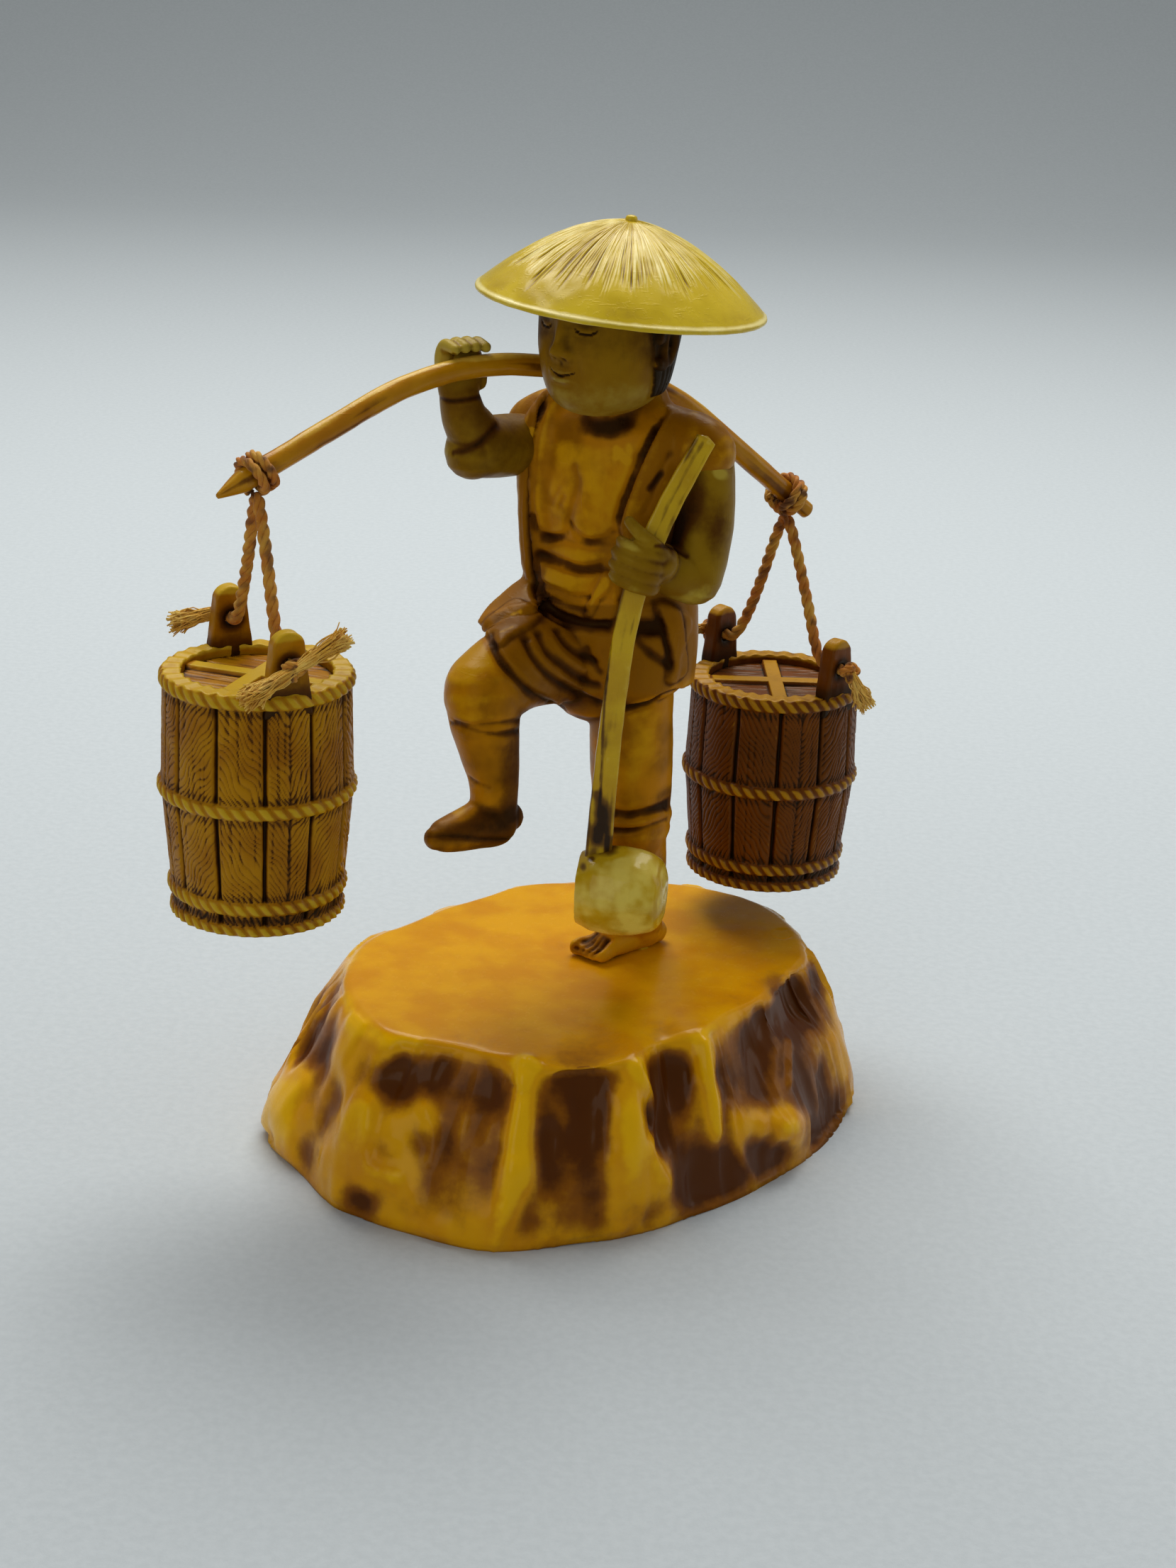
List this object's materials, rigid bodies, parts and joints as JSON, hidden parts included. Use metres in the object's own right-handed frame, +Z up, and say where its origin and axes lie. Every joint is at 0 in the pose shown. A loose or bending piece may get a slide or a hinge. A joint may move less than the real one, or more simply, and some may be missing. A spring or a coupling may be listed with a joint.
{
  "type": "okimono carving",
  "caption": "Carved water carrier in a broad hat on a natural block, with a pole over the shoulder, lidded tubs hung on cords and a ladle.",
  "frame": {"origin": "centre of the block's underside", "axes": "+Z up, the figure is seen from -Y and the pole runs from front left to rear right"},
  "size_m": [0.0815, 0.0687, 0.1092],
  "materials": {
    "block": "gloss",
    "body_carving": "satin",
    "pale_carving": "satin",
    "hat_carving": "satin",
    "pole_carving": "satin",
    "tub_carving": "satin",
    "cotton_cord": "matte",
    "frayed_cord": "matte"
  },
  "bodies": {
    "figure": {"base": "block", "base_plug": "pale_carving", "foot_dowel": "pale_carving", "body": "body_carving", "neck_peg": "pale_carving", "head": "pale_carving", "hat": "hat_carving", "hat_peg": "pale_carving", "right_arm": "pale_carving", "right_arm_peg": "pale_carving", "left_arm": "pale_carving", "left_arm_peg": "pale_carving", "pole": "pole_carving", "ladle_handle": "pale_carving", "ladle_cup": "pale_carving"},
    "front_hitch": {"front_hitch": "cotton_cord"},
    "front_sling": {"front_sling": "cotton_cord", "front_knots": "cotton_cord", "front_frays": "frayed_cord"},
    "front_tub": {"front_tub": "tub_carving", "front_tub_lid": "tub_carving"},
    "rear_hitch": {"rear_hitch": "cotton_cord"},
    "rear_sling": {"rear_sling": "cotton_cord", "rear_knots": "cotton_cord", "rear_frays": "frayed_cord"},
    "rear_tub": {"rear_tub": "tub_carving", "rear_tub_lid": "tub_carving"}
  },
  "joints": [
    {"name": "front_hitch_turn", "type": "hinge", "parent": "figure", "child": "front_hitch", "pos_m": [-0.03531, -0.01864, 0.08314], "axis": [0.7526, 0.5134, 0.4123], "range_deg": [-15, 15]},
    {"name": "front_cord_swing", "type": "hinge", "parent": "front_hitch", "child": "front_sling", "pos_m": [-0.03531, -0.01864, 0.08314], "axis": [0.454, -0.891, 0], "range_deg": [-18, 6]},
    {"name": "front_tub_tilt", "type": "hinge", "parent": "front_sling", "child": "front_tub", "pos_m": [-0.03531, -0.01864, 0.06494], "axis": [0.454, -0.891, 0], "range_deg": [-12, 5]},
    {"name": "rear_hitch_turn", "type": "hinge", "parent": "figure", "child": "rear_hitch", "pos_m": [0.02308, 0.02119, 0.07369], "axis": [0.654, 0.4461, -0.6109], "range_deg": [-15, 15]},
    {"name": "rear_cord_swing", "type": "hinge", "parent": "rear_hitch", "child": "rear_sling", "pos_m": [0.02308, 0.02119, 0.07369], "axis": [-0.7314, 0.682, 0], "range_deg": [-18, 6]},
    {"name": "rear_tub_tilt", "type": "hinge", "parent": "rear_sling", "child": "rear_tub", "pos_m": [0.02308, 0.02119, 0.05409], "axis": [-0.7314, 0.682, 0], "range_deg": [-12, 5]}
  ]
}
